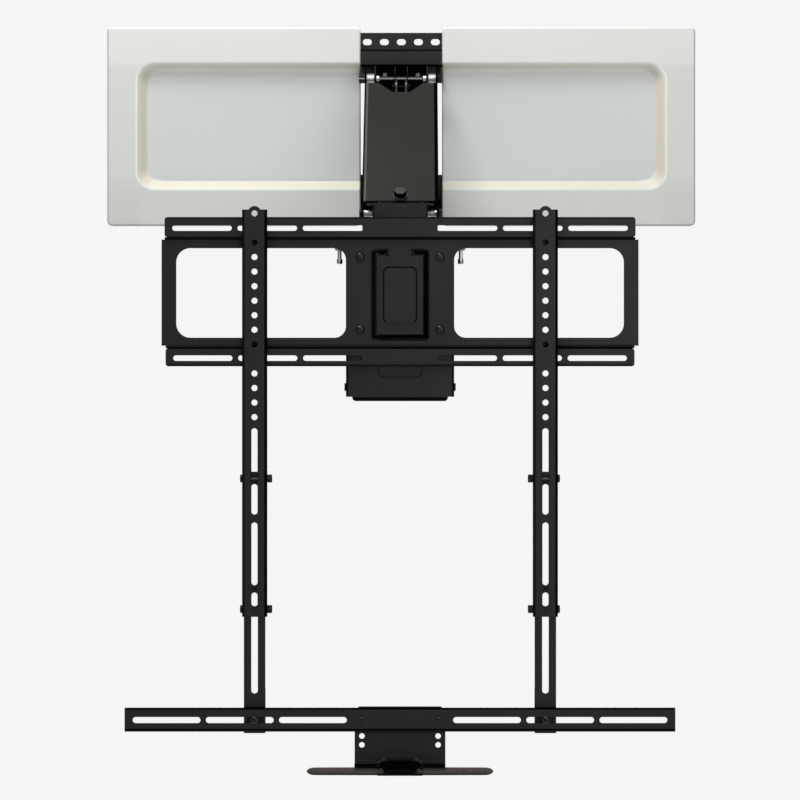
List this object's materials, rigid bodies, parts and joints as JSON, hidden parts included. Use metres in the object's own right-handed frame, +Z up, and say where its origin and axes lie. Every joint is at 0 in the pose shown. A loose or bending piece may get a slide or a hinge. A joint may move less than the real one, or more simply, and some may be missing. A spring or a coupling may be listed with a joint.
{
  "type": "pull-down television wall mount",
  "caption": "Pull-down television wall mount with parallel arms, swivelling and tilting head, hook-on straps, sliding soundbar bar and pull handle.",
  "frame": {"origin": "centre of the wall plate's back face, which lies on the wall", "axes": "+X to the viewer's right along the wall plate, +Y into the wall, +Z up; the head reaches towards -Y"},
  "size_m": [0.873, 0.3972, 1.0552],
  "materials": {
    "black_steel": "fine satin black powder coat",
    "arm_steel": "warm dark grey powder coat",
    "white_cover": "smooth satin white moulding",
    "bright_steel": "bright turned steel",
    "black_fastener": "black oxide",
    "strut_paint": "gloss black lacquer",
    "grip_foam": "dark brown closed-cell foam"
  },
  "bodies": {
    "root": {"wall_plate": "black_steel", "pivot_channel": "black_steel", "cross_channel": "black_steel", "spring_anchor": "black_steel", "anchor_rivets": "bright_steel", "anchor_pin": "bright_steel", "cover_left": "white_cover", "cover_right": "white_cover", "upper_wall_bolt": "bright_steel", "upper_wall_nut": "black_fastener", "upper_wall_bushings": "bright_steel", "upper_wall_collars": "bright_steel", "lower_wall_bolt": "black_fastener", "lower_wall_nut": "black_fastener", "lower_wall_spacers": "bright_steel"},
    "upper_arm": {"upper_arm": "arm_steel", "arm_hex_bolt": "black_fastener", "arm_washer": "black_fastener", "strut_block": "arm_steel", "strut_block_pin": "bright_steel"},
    "lower_arm": {"lower_arm": "arm_steel"},
    "strut_cylinder": {"strut_cylinder": "strut_paint"},
    "strut_rod": {"strut_rod": "bright_steel", "strut_fork": "strut_paint"},
    "carrier": {"carrier": "black_steel", "upper_head_bolt": "black_fastener", "upper_head_nut": "black_fastener", "upper_head_bushings": "bright_steel", "lower_head_bolt": "black_fastener", "lower_head_nut": "black_fastener", "lower_head_spacers": "bright_steel", "swivel_pin": "black_fastener", "swivel_clip": "black_fastener", "swivel_washers": "bright_steel"},
    "swivel": {"tilt_bracket": "black_steel"},
    "head": {"tilt_screws": "black_fastener", "housing": "black_steel", "head_frame": "black_steel", "frame_bolts": "black_fastener", "level_tabs": "black_steel", "level_pins": "bright_steel", "strap_left": "black_steel", "strap_right": "black_steel", "strap_lock_screws": "black_fastener", "clamp_bolts": "black_fastener", "clamp_knobs": "black_fastener"},
    "bar": {"extension_left": "black_steel", "extension_right": "black_steel", "soundbar_bar": "black_steel", "bar_bolts": "black_fastener", "bar_nuts": "black_fastener", "handle_bracket": "black_steel", "bracket_bolts": "black_fastener", "handle_core": "black_steel", "grip_left": "grip_foam", "grip_right": "grip_foam"}
  },
  "joints": [
    {"name": "arm_lift", "type": "hinge", "parent": "root", "child": "upper_arm", "pos_m": [0, -0.05, 0.07], "axis": [-1, 0, 0], "range_deg": [-12, 95]},
    {"name": "lower_arm_lift", "type": "hinge", "parent": "root", "child": "lower_arm", "pos_m": [0, -0.05, -0.104], "axis": [-1, 0, 0], "range_deg": [-12, 95]},
    {"name": "carrier_level", "type": "hinge", "parent": "upper_arm", "child": "carrier", "pos_m": [0, -0.321, -0.135], "axis": [-1, 0, 0], "range_deg": [-95, 12]},
    {"name": "strut_swing", "type": "hinge", "parent": "upper_arm", "child": "strut_cylinder", "pos_m": [0, -0.3068, -0.12426], "axis": [-1, 0, 0], "range_deg": [-1, 4]},
    {"name": "strut_extend", "type": "slide", "parent": "strut_cylinder", "child": "strut_rod", "axis": [0, 0.8052, 0.5929], "range_m": [-0.004, 0.025]},
    {"name": "head_swivel", "type": "hinge", "parent": "carrier", "child": "swivel", "pos_m": [0, -0.346, -0.245], "axis": [0, 0, 1], "range_deg": [-30, 30]},
    {"name": "head_tilt", "type": "hinge", "parent": "swivel", "child": "head", "pos_m": [0, -0.352, -0.376], "axis": [1, 0, 0], "range_deg": [0, 8]},
    {"name": "bar_height", "type": "slide", "parent": "head", "child": "bar", "axis": [0, 0, 1], "range_m": [0, 0.11]}
  ],
  "couplings": [
    {"joint": "lower_arm_lift", "follows": "arm_lift", "ratio": 1},
    {"joint": "carrier_level", "follows": "arm_lift", "ratio": -1},
    {"joint": "strut_swing", "follows": "arm_lift", "ratio": 0.03},
    {"joint": "strut_extend", "follows": "arm_lift", "m_per_rad": 0.01375}
  ]
}
